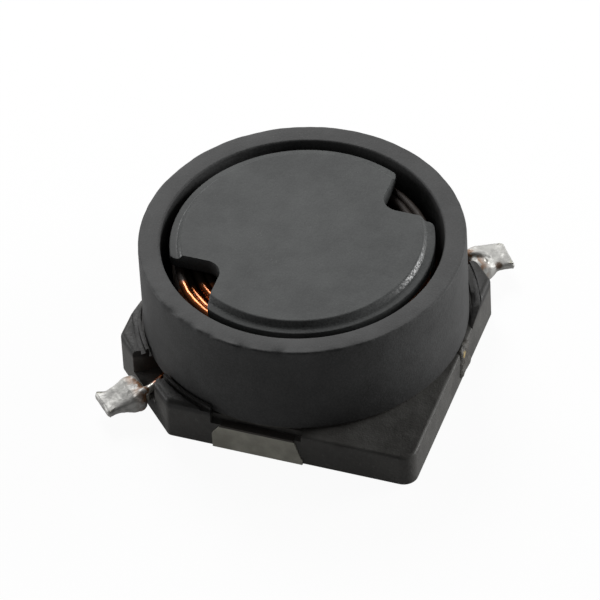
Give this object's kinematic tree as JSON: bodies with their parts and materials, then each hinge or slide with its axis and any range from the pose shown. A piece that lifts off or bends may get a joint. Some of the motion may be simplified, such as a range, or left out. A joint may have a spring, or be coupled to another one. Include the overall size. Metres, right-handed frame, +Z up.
{
  "type": "shielded smd inductor",
  "caption": "Low square surface-mount power inductor: wound ferrite drum inside a round ferrite ring on a moulded base with corner terminals.",
  "frame": {"origin": "middle of the plane on which the two solder pads rest", "axes": "+Z up through the drum, +X and +Y square to the flat sides of the base; the terminals leave the corners at -X -Y and +X +Y"},
  "size_m": [0.0072, 0.0072, 0.0031],
  "materials": {
    "base_resin": "moulded thermoset resin, satin, dark grey",
    "lead_frame": "tin plated sheet, dull",
    "drum_ferrite": "ground and barrelled ferrite, dull grey",
    "enamelled_wire": "enamelled copper, glossy",
    "ring_ferrite": "sintered ferrite, bluish grey, satin",
    "adhesive": "cured epoxy, brownish",
    "solder": "solder, bright, uneven, with brown flux"
  },
  "bodies": {
    "root": {"base": "base_resin", "terminal_a": "lead_frame", "terminal_b": "lead_frame", "drum_core": "drum_ferrite", "winding": "enamelled_wire", "ring_core": "ring_ferrite", "core_adhesive": "adhesive", "ring_adhesive": "adhesive", "solder_joint_a": "solder", "solder_joint_b": "solder"}
  },
  "joints": []
}
